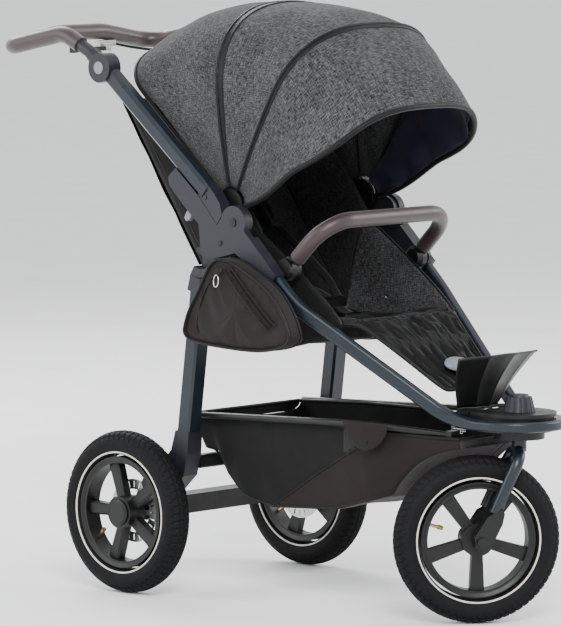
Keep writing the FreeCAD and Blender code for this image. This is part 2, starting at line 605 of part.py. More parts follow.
rear_wheels()
front_wheel()
fork()
steering_head()
hinge_housings(front_frame())
rails()
push_bar()
adjusters()
handlebar()
rear_legs()
canopy()
seat()
bumper()
footrest()
basket()
side_bag()
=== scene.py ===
"""The stroller's looks: cloth, rubber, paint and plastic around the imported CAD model."""
import json
import math

import bmesh
import bpy
import numpy as np
from mathutils import Matrix, Vector, noise


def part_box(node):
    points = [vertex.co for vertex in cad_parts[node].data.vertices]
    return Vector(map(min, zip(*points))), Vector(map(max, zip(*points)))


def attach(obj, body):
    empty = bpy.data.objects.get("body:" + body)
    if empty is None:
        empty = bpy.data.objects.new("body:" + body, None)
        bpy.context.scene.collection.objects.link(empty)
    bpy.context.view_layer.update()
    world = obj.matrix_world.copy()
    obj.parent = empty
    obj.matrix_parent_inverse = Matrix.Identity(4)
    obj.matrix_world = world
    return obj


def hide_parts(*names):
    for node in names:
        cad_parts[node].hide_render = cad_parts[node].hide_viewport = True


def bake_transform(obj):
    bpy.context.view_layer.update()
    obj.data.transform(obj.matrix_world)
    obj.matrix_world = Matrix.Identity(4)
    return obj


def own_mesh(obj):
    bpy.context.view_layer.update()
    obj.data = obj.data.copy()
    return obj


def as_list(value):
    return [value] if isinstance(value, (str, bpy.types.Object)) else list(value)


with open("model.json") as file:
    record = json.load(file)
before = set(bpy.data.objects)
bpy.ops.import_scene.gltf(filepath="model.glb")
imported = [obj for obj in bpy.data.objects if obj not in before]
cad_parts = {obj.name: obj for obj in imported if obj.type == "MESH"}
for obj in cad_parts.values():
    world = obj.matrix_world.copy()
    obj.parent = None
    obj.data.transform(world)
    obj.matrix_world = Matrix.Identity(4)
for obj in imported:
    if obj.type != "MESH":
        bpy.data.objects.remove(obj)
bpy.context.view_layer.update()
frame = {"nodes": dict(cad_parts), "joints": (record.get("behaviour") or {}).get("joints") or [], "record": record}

noise.seed_set(7)


def joint_point(name):
    """Where a hinge stands, from the frame."""
    for joint in frame["joints"]:
        if joint["name"] == name:
            return Vector(joint["pos_m"])
    raise KeyError(name)


def middle(node):
    low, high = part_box(node)
    return (Vector(low) + Vector(high)) / 2


HUB = joint_point("canopy_fold")           # canopy hub axis
STEER = joint_point("caster_swivel")
BACK = joint_point("recline")
FRONT_WHEEL = joint_point("front_spin")
CASTER_TURN = math.radians(53.13)
SIDES = ((-1, "right"), (1, "left"))       # the child's right is at -X
WHEEL_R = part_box("rear_tyre_left")[1][2] / 2


# ------------------------------------------------------------------ node materials
def tint(colour, factor):
    return tuple(min(1.0, c * factor) for c in colour)


class Finish:
    """A new material, and the few calls that every material is built from."""

    def __init__(self, name):
        self.mat = bpy.data.materials.new(name)
        self.mat.use_nodes = True
        self.nodes, self.links = self.mat.node_tree.nodes, self.mat.node_tree.links
        self.shader = self.nodes["Principled BSDF"]

    def feed(self, socket, source):
        self.links.new(source, self.shader.inputs[socket])

    def constants(self, values):
        for socket, value in values.items():
            self.shader.inputs[socket].default_value = value

    def coords(self, scale, cloth=False):
        """Texture coordinates, scaled. Cloth reads the flat coordinates stored on the mesh."""
        mapping = self.nodes.new("ShaderNodeMapping")
        mapping.inputs["Scale"].default_value = scale if hasattr(scale, "__len__") else (scale,) * 3
        if cloth:
            source = self.nodes.new("ShaderNodeAttribute")
            source.attribute_name = "cloth"
            self.links.new(source.outputs["Vector"], mapping.inputs["Vector"])
        else:
            source = self.nodes.new("ShaderNodeTexCoord")
            self.links.new(source.outputs["Object"], mapping.inputs["Vector"])
        return mapping.outputs["Vector"]

    def noise(self, vector, scale, detail=3.0, rough=0.55):
        tex = self.nodes.new("ShaderNodeTexNoise")
        tex.inputs["Scale"].default_value = scale
        tex.inputs["Detail"].default_value = detail
        tex.inputs["Roughness"].default_value = rough
        self.links.new(vector, tex.inputs["Vector"])
        return tex.outputs["Fac"]

    def threads(self, operation, scale, cloth=True):
        """Waves along both thread directions, combined; the scale is in waves on a millimetre grid."""
        vector = self.coords(1000.0, cloth)
        waves = []
        for direction in "XY":
            tex = self.nodes.new("ShaderNodeTexWave")
            tex.bands_direction = direction
            tex.inputs["Scale"].default_value = scale
            self.links.new(vector, tex.inputs["Vector"])
            waves.append(tex.outputs["Fac"])
        return self.maths(operation, *waves)

    def cells(self, scale, feature="F1"):
        tex = self.nodes.new("ShaderNodeTexVoronoi")
        tex.feature = feature
        tex.inputs["Scale"].default_value = scale
        self.links.new(self.coords(1.0), tex.inputs["Vector"])
        return tex.outputs["Distance"]

    def ramp(self, fac, low, high, *more):
        """A colour ramp through (position, colour or grey) stops."""
        node = self.nodes.new("ShaderNodeValToRGB")
        elements = node.color_ramp.elements
        stops = (low, high) + more
        while len(elements) < len(stops):
            elements.new(0.5)
        for element, (at, colour) in zip(elements, stops):
            element.position = at
            element.color = (*colour, 1.0) if hasattr(colour, "__len__") else (colour,) * 3 + (1.0,)
        self.links.new(fac, node.inputs["Fac"])
        return node.outputs["Color"]

    def maths(self, operation, a, b):
        node = self.nodes.new("ShaderNodeMath")
        node.operation = operation
        for socket, value in zip(node.inputs, (a, b)):
            if isinstance(value, (int, float)):
                socket.default_value = value
            else:
                self.links.new(value, socket)
        return node.outputs[0]

    def bump(self, height, strength, distance, below=None):
        node = self.nodes.new("ShaderNodeBump")
        node.inputs["Strength"].default_value = strength
        node.inputs["Distance"].default_value = distance
        self.links.new(height, node.inputs["Height"])
        if below is not None:
            self.links.new(below, node.inputs["Normal"])
        self.feed("Normal", node.outputs["Normal"])
        return node.outputs["Normal"]


def paint(name, colour, rough=0.36):
    """Satin powder coat: a fine orange peel, slight mottling and paler worn patches."""
    f = Finish(name)
    peel = f.noise(f.coords(1.0), 900.0, 2.0)
    cloud = f.noise(f.coords(1.0), 22.0, 4.0)
    f.feed("Base Color", f.ramp(cloud, (0.3, tint(colour, 0.92)), (0.7, tint(colour, 1.12))))
    f.feed("Roughness", f.ramp(cloud, (0.3, rough - 0.05), (0.75, rough + 0.08)))
    f.constants({"Metallic": 0.25, "Specular IOR Level": 0.4, "Coat Weight": 0.15, "Coat Roughness": 0.25})
    f.bump(peel, 0.12, 0.0003)
    return f.mat


def plastic(name, colour, rough=0.5):
    """Moulded plastic with a spark-eroded grain."""
    f = Finish(name)
    cloud = f.noise(f.coords(1.0), 30.0, 4.0)
    f.feed("Base Color", f.ramp(cloud, (0.3, tint(colour, 0.86)), (0.7, tint(colour, 1.14))))
    f.feed("Roughness", f.ramp(cloud, (0.25, rough - 0.06), (0.8, rough + 0.1)))
    f.constants({"Specular IOR Level": 0.35})
    f.bump(f.cells(1400.0), 0.25, 0.0004)
    return f.mat


def metal(name, colour, rough=0.3):
    """Metal brushed along X."""
    f = Finish(name)
    lines = f.noise(f.coords((4.0, 900.0, 900.0)), 1.0, 3.0)
    f.feed("Base Color", f.ramp(lines, (0.3, tint(colour, 0.8)), (0.7, tint(colour, 1.1))))
    f.feed("Roughness", f.ramp(lines, (0.3, rough - 0.08), (0.7, rough + 0.1)))
    f.constants({"Metallic": 1.0})
    f.bump(lines, 0.1, 0.0002)
    return f.mat


def rubber(name, colour):
    """Dusty rubber with a fine moulded skin."""
    f = Finish(name)
    dust = f.noise(f.coords(1.0), 60.0, 6.0, 0.65)
    fine = f.noise(f.coords(1.0), 1600.0, 2.0)
    f.feed("Base Color", f.ramp(dust, (0.3, colour), (0.75, tuple(c * 1.7 for c in colour))))
    f.feed("Roughness", f.ramp(dust, (0.3, 0.62), (0.75, 0.85)))
    f.constants({"Specular IOR Level": 0.15})
    f.bump(fine, 0.2, 0.0004)
    return f.mat


def leatherette(name, colour):
    """Pebbled brown grip cover."""
    f = Finish(name)
    cloud = f.noise(f.coords(1.0), 26.0, 5.0)
    f.feed("Base Color", f.ramp(cloud, (0.28, tint(colour, 0.72)), (0.72, tint(colour, 1.25))))
    f.feed("Roughness", f.ramp(cloud, (0.3, 0.38), (0.75, 0.52)))
    f.constants({"Sheen Weight": 0.15})
    f.bump(f.cells(620.0, "SMOOTH_F1"), 0.35, 0.0005)
    return f.mat


def melange(name, dark, light):
    """Heathered cloth: light and dark slubs along both thread directions over a plain weave."""
    f = Finish(name)
    along = f.noise(f.coords((90, 560, 1), True), 1.0, 3.0, 0.75)
    across = f.noise(f.coords((560, 80, 1), True), 1.0, 3.0, 0.75)
    cloud = f.noise(f.coords(14.0, True), 1.0, 3.0)
    slubs = f.maths("MULTIPLY", f.maths("ADD", along, across), 0.5)
    clouds = f.maths("MULTIPLY", f.maths("SUBTRACT", cloud, 0.5), 0.12)
    mixed = f.maths("ADD", slubs, clouds)
    middle_tone = tuple((a + b) / 2.3 for a, b in zip(dark, light))
    f.feed("Base Color", f.ramp(mixed, (0.40, dark), (0.5, middle_tone), (0.60, light)))
    f.constants({"Roughness": 0.9, "Sheen Weight": 0.03, "Specular IOR Level": 0.15, "Sheen Roughness": 0.5})
    weave = f.threads("MULTIPLY", 0.11)
    f.bump(f.maths("ADD", f.maths("MULTIPLY", weave, 0.5), mixed), 0.5, 0.0006)
    return f.mat


def polyester(name, colour, cloth=True, rough=0.75):
    """Plain dense cloth with a fine weave, broad creasing and slight fading."""
    f = Finish(name)
    cloud = f.noise(f.coords(1.0, cloth), 16.0, 5.0)
    fine = f.noise(f.coords(1.0, cloth), 700.0, 2.0)
    tone = f.maths("ADD", f.maths("MULTIPLY", cloud, 0.7), f.maths("MULTIPLY", fine, 0.3))
    f.feed("Base Color", f.ramp(tone, (0.32, tint(colour, 0.75)), (0.68, tint(colour, 1.35))))
    f.feed("Roughness", f.ramp(cloud, (0.3, rough - 0.08), (0.7, min(1.0, rough + 0.1))))
    f.constants({"Sheen Weight": 0.06, "Specular IOR Level": 0.2, "Sheen Roughness": 0.4})
    low = f.bump(cloud, 0.35, 0.004)
    f.bump(f.threads("ADD", 0.16, cloth), 0.3, 0.0004, below=low)
    return f.mat


def netting(name, colour):
    """Open mesh: holes cut by the alpha of a fine lattice."""
    f = Finish(name)
    f.feed("Alpha", f.ramp(f.threads("MULTIPLY", 0.085), (0.30, 1.0), (0.42, 0.0)))
    cloud = f.noise(f.coords(1000.0, True), 0.05)
    f.feed("Base Color", f.ramp(cloud, (0.3, colour), (0.7, tuple(c * 1.5 for c in colour))))
    f.constants({"Roughness": 0.8})
    return f.mat


NAVY, HOUSING, BLACK = (0.0060, 0.0110, 0.0165), (0.0100, 0.0115, 0.0160), (0.0018, 0.0018, 0.0020)
MATERIALS = {
    "frame_paint": paint("satin_navy_paint", NAVY),
    "housing_plastic": plastic("grey_housing_plastic", HOUSING, 0.46),
    "black_plastic": plastic("black_moulded_plastic", BLACK, 0.42),
    "light_plastic": plastic("light_grey_plastic", (0.15, 0.175, 0.20), 0.42),
    "steel": metal("brushed_steel", (0.50, 0.50, 0.50)),
    "brass": metal("brass", (0.62, 0.40, 0.16), 0.32),
    "tyre_rubber": rubber("tyre_rubber", (0.0030, 0.0030, 0.0034)),
    "cable_sheath": rubber("cable_sheath", (0.006, 0.006, 0.006)),
    "brown_leatherette": leatherette("brown_leatherette", (0.022, 0.0095, 0.0088)),
    "melange_fabric": melange("grey_melange", (0.002, 0.002, 0.0025), (0.085, 0.085, 0.088)),
    # The dark melange is the grey melange darkened as painted shade, for cloth under the canopy and inside the
    # seat.
    "shaded_melange": melange("shaded_grey_melange", (0.0015, 0.0015, 0.0018), (0.040, 0.040, 0.042)),
    "black_fabric": polyester("black_polyester", (0.0020, 0.0020, 0.0022)),
    "bag_fabric": polyester("brown_black_polyester", (0.0085, 0.0064, 0.0064)),
    "under_fabric": polyester("brown_polyester", (0.0085, 0.0056, 0.0052)),
    "lining": polyester("blue_grey_lining", (0.011, 0.013, 0.024), rough=0.5),
    "piping": polyester("black_piping", (0.0018, 0.0018, 0.0020), cloth=False, rough=0.5),
    "ring": rubber("reflective_ring", (0.46, 0.44, 0.38)),
    "net": netting("black_netting", (0.010, 0.010, 0.010)),
}


def dress_cad():
    """Every CAD node that stays visible gets its procedural material."""
    slots = {part["node"]: part["material_slot"] for part in frame["record"]["subparts"]}
    extra = {"handlebar_tube": "housing_plastic", "rear_axle_beam": "black_plastic",
             "rear_crossbar": "black_plastic", "basket_rails": "black_plastic",
             "hinge_bolts": "black_plastic", "front_axle": "black_plastic"}
    for name, node in frame["nodes"].items():
        mat = MATERIALS[extra.get(name, slots[name])]
        node.data.materials.clear()
        node.data.materials.append(mat)


# ------------------------------------------------------------------ mesh helpers
def link(obj):
    bpy.context.scene.collection.objects.link(obj)
    return obj


def make(name, verts, faces, mat, cloth=None):
    mesh = bpy.data.meshes.new(name)
    mesh.from_pydata([tuple(v) for v in verts], [], faces)
    if cloth is not None:
        layer = mesh.attributes.new("cloth", "FLOAT_VECTOR", "POINT")
        layer.data.foreach_set("vector", np.asarray(cloth, np.float32).ravel())
    mesh.update()
    mesh.polygons.foreach_set("use_smooth", [True] * len(mesh.polygons))
    obj = link(bpy.data.objects.new(name, mesh))
    for item in (mat if isinstance(mat, (list, tuple)) else [mat]):
        mesh.materials.append(MATERIALS[item])
    return obj


def grid_faces(nu, nv, wrap_u=False, wrap_v=False):
    faces = []
    for i in range(nu if wrap_u else nu - 1):
        for j in range(nv if wrap_v else nv - 1):
            a, b = i * nv + j, ((i + 1) % nu) * nv + j
            c, d = ((i + 1) % nu) * nv + (j + 1) % nv, i * nv + (j + 1) % nv
            faces.append((a, b, c, d))
    return faces


def surface(name, point, nu, nv, mat, thick=0.0, wrap_v=False):
    """A grid over [0, 1] x [0, 1] with flat cloth coordinates measured along it."""
    us = np.linspace(0, 1, nu)
    vs = np.linspace(0, 1, nv, endpoint=not wrap_v)
    grid = np.array([[point(u, v) for v in vs] for u in us], float)
    du = np.linalg.norm(np.diff(grid, axis=0), axis=2).mean(axis=1)
    dv = np.linalg.norm(np.diff(grid, axis=1), axis=2).mean(axis=0)
    fu, fv = np.concatenate([[0], np.cumsum(du)]), np.concatenate([[0], np.cumsum(dv)])
    cloth = np.zeros((nu, nv, 3))
    cloth[..., 0], cloth[..., 1] = fu[:, None], fv[None, :]
    obj = make(name, grid.reshape(-1, 3), grid_faces(nu, nv, wrap_v=wrap_v), mat,
               cloth.reshape(-1, 3))
    if thick:
        mod = obj.modifiers.new("thick", "SOLIDIFY")
        mod.thickness, mod.offset, mod.use_even_offset = thick, -1.0, True
        apply_modifiers(obj)
    return obj


def apply_modifiers(obj):
    bpy.context.view_layer.update()
    evaluated = obj.evaluated_get(bpy.context.evaluated_depsgraph_get())
    mesh = bpy.data.meshes.new_from_object(evaluated, preserve_all_data_layers=True,
                                           depsgraph=bpy.context.evaluated_depsgraph_get())
    old = obj.data
    obj.modifiers.clear()
    obj.data = mesh
    bpy.data.meshes.remove(old)
    return obj


def thicken(obj, thick, offset=0.0, inner=0):
    """Gives a sheet its thickness, with its inner side's material; returns its area from before."""
    area = sum(p.area for p in obj.data.polygons)
    mod = obj.modifiers.new("thick", "SOLIDIFY")
    mod.thickness, mod.offset, mod.material_offset = thick, offset, inner
    apply_modifiers(obj)
    return area


def face_outward(obj, repair=None):
    """Turns every face outward, after a repair of the open mesh if there is one."""
    bm = bmesh.new()
    bm.from_mesh(obj.data)
    if repair:
        repair(bm)
    bmesh.ops.recalc_face_normals(bm, faces=bm.faces)
    bm.to_mesh(obj.data)
    bm.free()


def circle(count):
    """Angles evenly round a full turn."""
    return np.linspace(0, 2 * math.pi, count, endpoint=False)


def path_point(path, share):
    """The point that far along an evenly split path, and the path's direction there."""
    f = share * (len(path) - 1)
    i = min(int(f), len(path) - 2)
    return path[i].lerp(path[i + 1], f - i), (path[i + 1] - path[i]).normalized()


def tube(name, points, radius, mat, closed=False):
    """A smooth tube along points, as real mesh."""
    curve = bpy.data.curves.new(name, "CURVE")
    curve.dimensions = "3D"
    spline = curve.splines.new("NURBS")
    spline.points.add(len(points) - 1)
    for slot, p in zip(spline.points, points):
        slot.co = (*p, 1.0)
    spline.order_u = 4 if len(points) > 3 else 3
    spline.use_endpoint_u = not closed
    spline.use_cyclic_u = closed
    spline.resolution_u = 6
    curve.bevel_depth = radius
    curve.bevel_resolution = 2
    curve.use_fill_caps = True
    obj = link(bpy.data.objects.new(name, curve))
    bpy.context.view_layer.update()
    mesh = bpy.data.meshes.new_from_object(obj.evaluated_get(bpy.context.evaluated_depsgraph_get()))
    bpy.data.objects.remove(obj)
    bpy.data.curves.remove(curve)
    mesh.polygons.foreach_set("use_smooth", [True] * len(mesh.polygons))
    obj = link(bpy.data.objects.new(name, mesh))
    mesh.materials.clear()
    mesh.materials.append(MATERIALS[mat])
    return obj


def finish_piece(obj, body, mat, *nodes):
    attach(obj, body)
    if nodes:
        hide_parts(*nodes)
    return obj


def trim(name, points, radius, body="frame", mat="piping", closed=False):
    """A round binding, seam or ring that rides on a body."""
    return finish_piece(tube(name, points, radius, mat, closed), body, mat)


def declare_sheet(obj, area, rests_on):
    """Turns rests_on into a list and does nothing else; the sheet and its area are not used."""
    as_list(rests_on)


# ------------------------------------------------------------------ canopy
BOWS = [(-49.5, 0.420, 0.174, 0.72, 1.9), (-5.3, 0.363, 0.194, 0.54, 2.4), (29.8, 0.378, 0.195, 0.60, 2.6),
        (66.0, 0.386, 0.195, 0.55, 2.4)]     # angle, crown radius, half width, shoulder, squareness
FOOT_R, FOOT_X = 0.034, 0.178
SAG = 0.006
LEG_SHARE = 0.27


def bow_size(theta):
    """Size of the arch at an angle, drawn in a little between two bows."""
    for low, high in zip(BOWS, BOWS[1:]):
        if theta <= high[0] or high is BOWS[-1]:
            t = (theta - low[0]) / (high[0] - low[0])
            dip = SAG * math.sin(math.pi * min(max(t, 0), 1))
            crown, half, shoulder, square = (a + (b - a) * t for a, b in zip(low[1:], high[1:]))
            return crown - dip, half - dip * 0.7, shoulder, square
    raise ValueError(theta)


def arch(theta, t, inset=0.0):
    """A point on the arch: t runs 0..1 from the right foot over the crown to the left foot."""
    crown, half, shoulder, square = bow_size(theta)
    crown, half, foot = crown - inset, half - inset, FOOT_X - inset
    side = -1 if t < 0.5 else 1
    k = min(t, 1 - t) / 0.5
    if k < LEG_SHARE * 2:
        q = k / (LEG_SHARE * 2)
        r = FOOT_R + (shoulder * crown - FOOT_R) * q
        x = side * (foot + (half - foot) * math.sin(q * math.pi / 2) ** 0.8)
    else:
        q = (k - LEG_SHARE * 2) / (1 - LEG_SHARE * 2) * math.pi / 2
        x = side * half * max(math.cos(q), 0.0) ** (2 / square)
        r = shoulder * crown + (1 - shoulder) * crown * math.sin(q) ** (2 / square)
    a = math.radians(theta)
    return Vector((x, HUB.y - r * math.sin(a), HUB.z + r * math.cos(a)))


def radius_at(theta, t):
    p = arch(theta, t)
    return math.hypot(p.y - HUB.y, p.z - HUB.z)


def rim_angle(t):
    """The front edge: higher at the crown, swept down and round near the hub."""
    k = min(t, 1 - t) / 0.5
    r = radius_at(BOWS[3][0], t)
    lower = 29.7 * max(0.0, 1 - r / 0.19) ** 1.6
    aside = 1.0 if k < LEG_SHARE * 2 else abs(arch(BOWS[3][0], t).x) / BOWS[3][2]
    return 60.6 + 6.7 * aside ** 5 + lower


def ripple(p, size, scale):
    """Small slack waves that keep cloth from looking like sheet metal."""
    return size * noise.noise(Vector(p) * scale)


def canopy_panel(name, low, high, nu=26):
    """Cloth between two bows; high is an angle, or the front edge as a function."""
    def point(u, v):
        stop = high(v) if callable(high) else high
        p = arch(low + (stop - low) * u, v)
        out = (p - Vector((0, HUB.y, HUB.z))).normalized()
        slack = math.sin(math.pi * u) * ripple(p, 0.004, 14.0)
        return p + out * slack
    obj = surface(name, point, nu, 90, "melange_fabric")
    return obj, thicken(obj, 0.0022, offset=-1.0)


def seam_line(name, theta, radius, body, lift=0.001):
    """Piping sewn over a bow from foot to foot."""
    points = []
    for t in np.linspace(0, 1, 61):
        angle = theta(t) if callable(theta) else theta
        p = arch(angle, t)
        out = Vector((p.x * 1.2, p.y - HUB.y, p.z - HUB.z)).normalized()
        points.append(p + out * lift)
    trim(name, points, radius, body)


def blend_hub(obj, lower, upper, a, b):
    """Bakes the cloth's transform into its mesh; the cloth between two bows does not turn with them."""
    arch(a, 0.5)
    arch(b, 0.5)
    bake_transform(obj)


def band(name, theta, width, body):
    """A flat dark tape over a bow, narrowing to the hub."""
    def point(u, v):
        reach = radius_at(theta, v)
        half = math.degrees(min(width / 2, 0.05 * reach + 0.001) / max(reach, 0.02))
        q = arch(theta + (2 * u - 1) * half, v)
        out = Vector((q.x * 1.2, q.y - HUB.y, q.z - HUB.z)).normalized()
        return q + out * 0.0016
    finish_piece(surface(name, point, 5, 90, "piping", thick=0.0012), body, "piping")


def canopies():
    t0, t1, t2, t3 = (b[0] for b in BOWS)
    panels = (("rear", t0, t1, 26, "frame", "canopy_bow_1", t1, ("canopy_rear_panel",),
               ["canopy_hubs", "canopy_bow_1"]),
              ("mid", t1, t2, 26, "canopy_bow_1", "canopy_bow_2", t2, ("canopy_mid_panel",),
               ["canopy_bow_1", "canopy_bow_2"]),
              ("front", t2, rim_angle, 34, "canopy_bow_2", "canopy_front", t3,
               ("canopy_front_panel", "canopy_front_bow"), ["canopy_bow_2", "canopy_front_bow"]))
    for word, low, high, nu, lower, upper, end, nodes, rests_on in panels:
        cloth, area = canopy_panel("canopy_%s_cloth" % word, low, high, nu)
        blend_hub(cloth, lower, upper, low, end)
        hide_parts(*nodes)
        declare_sheet(cloth, area, rests_on)

    def folded(u, v):
        theta = t2 + 2 + (rim_angle(v) - 0.6 - t2 - 2) * u
        fold = 0.0035 * math.sin(v * 62.0) * (0.3 + 0.7 * u) + ripple(arch(theta, v), 0.005, 25.0)
        return arch(theta, v, 0.0085 + fold)
    lining = surface("canopy_lining", folded, 24, 220, "lining")
    area = thicken(lining, 0.001)
    blend_hub(lining, "canopy_bow_2", "canopy_front", t2, t3)
    declare_sheet(lining, area, ["canopy_front_cloth"])

    lines = [("canopy_rear_piping", t0, 0.0034, "frame"), ("canopy_piping_1", t1, 0.0030, "canopy_bow_1"),
             ("canopy_piping_2", t2, 0.0030, "canopy_bow_2")]
    for name, theta, radius, body in lines:
        seam_line(name, theta, radius, body)
    seam_line("canopy_rim_piping", rim_angle, 0.0052, "canopy_front", lift=-0.002)
    band("canopy_zip_tape_1", t1 + 1.4, 0.018, "canopy_bow_1")
    band("canopy_zip_tape_2", t2 + 1.2, 0.008, "canopy_bow_2")
    for side, word in SIDES:
        ring = [HUB + Vector((side * 0.192, -0.004 + 0.011 * math.cos(a), -0.016 + 0.013 * math.sin(a)))
                for a in circle(12)]
        trim("canopy_pull_" + word, ring, 0.0016, mat="steel", closed=True)


# ------------------------------------------------------------------ tyres
TREAD_PITCH = 66
TREAD_DEPTH = 0.0024


def tyre_profile(a):
    """Half-angle a runs over the crown from bead to bead: returns axial and radial place."""
    half, mid_r, rise = 0.0262, WHEEL_R - 0.0250, 0.0250
    flat = 1.0 - 0.10 * abs(math.sin(a)) ** 3
    return half * math.sin(a) * (1.0 + 0.04 * math.cos(a) ** 2), mid_r + rise * math.cos(a) * flat


def tread_height(a, turn):
    """Blocks in a chevron over the crown, fine shoulder nibs, a smooth sidewall with two rings."""
    lane = abs(a) / 1.25
    if lane < 1.0:
        shift = 0.9 * lane * (1 if a > 0 else -1) + 0.25 * math.sin(3 * lane)
        phase = (turn * TREAD_PITCH / (2 * math.pi) + shift + (0.5 if a > 0 else 0.0)) % 1.0
        block = 1.0 if 0.16 < phase < 1.0 else 0.0
        groove = 0.0 if abs(lane - 0.30) < 0.045 or abs(lane - 0.68) < 0.04 or lane < 0.045 else 1.0
        fade = min(1.0, (1.0 - lane) * 5.0)
        return TREAD_DEPTH * (block * groove - 1.0) * fade
    for line in (1.42, 1.95):
        if abs(abs(a) - line) < 0.025:
            return 0.0007
    return 0.0


def tyre(name, centre, axis_turn, body, node):
    around, across = 792, 45
    reach = 2.42
    verts = []
    for i in range(around):
        turn = 2 * math.pi * i / around
        for j in range(across):
            a = -reach + 2 * reach * j / (across - 1)
            x, r = tyre_profile(a)
            h = tread_height(a, turn)
            x, r = x * (1 + h / 0.025), r + h * math.cos(a)
            verts.append(Vector((x, r * math.cos(turn), r * math.sin(turn))))
    rotation = Matrix.Rotation(axis_turn, 3, "Z")
    verts = [rotation @ v + centre for v in verts]
    faces = grid_faces(around, across, wrap_u=True)
    obj = make(name, verts, faces, "tyre_rubber")
    face_outward(obj, lambda bm: bmesh.ops.bridge_loops(bm, edges=[e for e in bm.edges if e.is_boundary]))
    finish_piece(obj, body, "tyre_rubber", node)
    for side in (-1, 1):
        a = side * 2.19
        x, r = tyre_profile(a)
        ring = [rotation @ Vector((x + side * 0.0004, r * math.cos(k), r * math.sin(k))) + centre
                for k in circle(96)]
        trim(name + ("_stripe_a" if side < 0 else "_stripe_b"), ring, 0.0017, body, "ring", closed=True)


def tyres():
    for side in ("left", "right"):
        centre = middle("rear_tyre_" + side)
        tyre("rear_tread_" + side, centre, 0.0, "rear_wheel_" + side, "rear_tyre_" + side)
    tyre("front_tread", FRONT_WHEEL, CASTER_TURN, "front_wheel", "front_tyre")


# ------------------------------------------------------------------ sewn and padded pieces
CLOTH = 0.0012     # thickness of the plain cloth
LEAN = math.radians(34.5)
BACK_UP = Vector((0, math.sin(LEAN), math.cos(LEAN)))
BACK_OUT = Vector((0, -math.cos(LEAN), math.sin(LEAN)))
SOFT = []          # pieces waiting for the cloth simulation: (object, fill)


def on_back(x, along, out):
    """A point by its place on the leaning backrest, in metres."""
    return Vector((x, BACK.y, BACK.z)) + BACK_UP * along + BACK_OUT * out


def channel(value, lines):
    """0 on a seam line, 1 midway between two."""
    for a, b in zip(lines, lines[1:]):
        if a - 1e-9 <= value <= b + 1e-9:
            return math.sqrt(max(0.0, math.sin(math.pi * (value - a) / (b - a))))
    return 0.0


def quilt(name, base, nu, nv, mats, puff, back, seams_u=(0, 1), seams_v=(0, 1), pressure=2.0):
    """A closed pad: a puffed face and a back joined at the rim, both over base(u, v) -> (point, normal).
    mats are (face, back). Seams stay pinned while the simulation fills the pad between them."""
    verts, cloth, pins, faces = [], [], [], []
    us, vs = np.linspace(0, 1, nu), np.linspace(0, 1, nv)
    step = (base(0.5, 0.5)[0] - base(0.5, 0.5 + 1e-3)[0]).length * 1000, \
           (base(0.5, 0.5)[0] - base(0.5 + 1e-3, 0.5)[0]).length * 1000
    pin_u = [min(range(nu), key=lambda i: abs(us[i] - s)) for s in seams_u]
    pin_v = [min(range(nv), key=lambda j: abs(vs[j] - s)) for s in seams_v]
    for layer in (0, 1):
        for i, u in enumerate(us):
            for j, v in enumerate(vs):
                p, n = base(u, v)
                rim = min(1.0, channel(u, (0, 1)) * 1.6) * min(1.0, channel(v, (0, 1)) * 1.6)
                if layer == 0:
                    h = puff * (0.25 * rim + 0.75 * min(channel(u, seams_u), channel(v, seams_v)))
                    h += ripple(p, 0.0012, 40.0) * rim
                    if i in pin_u or j in pin_v:
                        pins.append(len(verts))
                else:
                    h = -back * rim
                    pins.append(len(verts))
                verts.append(p + n * h)
                cloth.append((v * step[0], u * step[1], 0))
    count = nu * nv
    for i in range(nu - 1):
        for j in range(nv - 1):
            a, b, c, d = i * nv + j, (i + 1) * nv + j, (i + 1) * nv + j + 1, i * nv + j + 1
            faces.append((a, b, c, d))
            faces.append(tuple(count + k for k in (d, c, b, a)))
    obj = make(name, verts, faces, list(mats), cloth)
    for k, poly in enumerate(obj.data.polygons):
        poly.material_index = k % 2
    group = obj.vertex_groups.new(name="pin")
    group.add(pins, 1.0, "REPLACE")
    face_outward(obj, lambda bm: bmesh.ops.remove_doubles(bm, verts=bm.verts, dist=0.00025))
    SOFT.append((obj, pressure))
    return obj


def simulate(frames=26):
    """One cloth simulation fills every pad between its seams and creases the slack cloth."""
    for obj, pressure in SOFT:
        mod = obj.modifiers.new("cloth", "CLOTH")
        s = mod.settings
        s.quality, s.mass, s.air_damping = 6, 0.25, 2.0
        s.tension_stiffness, s.compression_stiffness, s.shear_stiffness = 18.0, 18.0, 8.0
        s.bending_stiffness = 0.35
        s.use_pressure, s.uniform_pressure_force = True, pressure
        s.vertex_group_mass, s.pin_stiffness = "pin", 1.0
        s.shrink_min = -0.012
        mod.collision_settings.use_collision = False
        mod.point_cache.frame_start, mod.point_cache.frame_end = 1, frames
    scene = bpy.context.scene
    for f in range(1, frames + 1):
        scene.frame_set(f)
    for obj, _ in SOFT:
        apply_modifiers(obj)
        obj.data.polygons.foreach_set("use_smooth", [True] * len(obj.data.polygons))
    scene.frame_set(1)


def strap(name, points, width, thick):
    """Flat webbing along points, across X."""
    def point(u, v):
        return path_point(points, v)[0] + Vector(((u - 0.5) * width, 0, 0))
    obj = surface(name, point, 5, 40, "piping")
    return obj, thicken(obj, thick)


def bend(points, count=40):
    """A smooth run of points through the given ones (Catmull-Rom)."""
    pts = [points[0]] + list(points) + [points[-1]]
    out = []
    for i in range(count + 1):
        f = i / count * (len(points) - 1)
        k = min(int(f), len(points) - 2)
        t = f - k
        a, b, c, d = pts[k:k + 4]
        out.append(0.5 * ((2 * b) + (c - a) * t + (2 * a - 5 * b + 4 * c - d) * t ** 2
                          + (3 * b - a - 3 * c + d) * t ** 3))
    return out


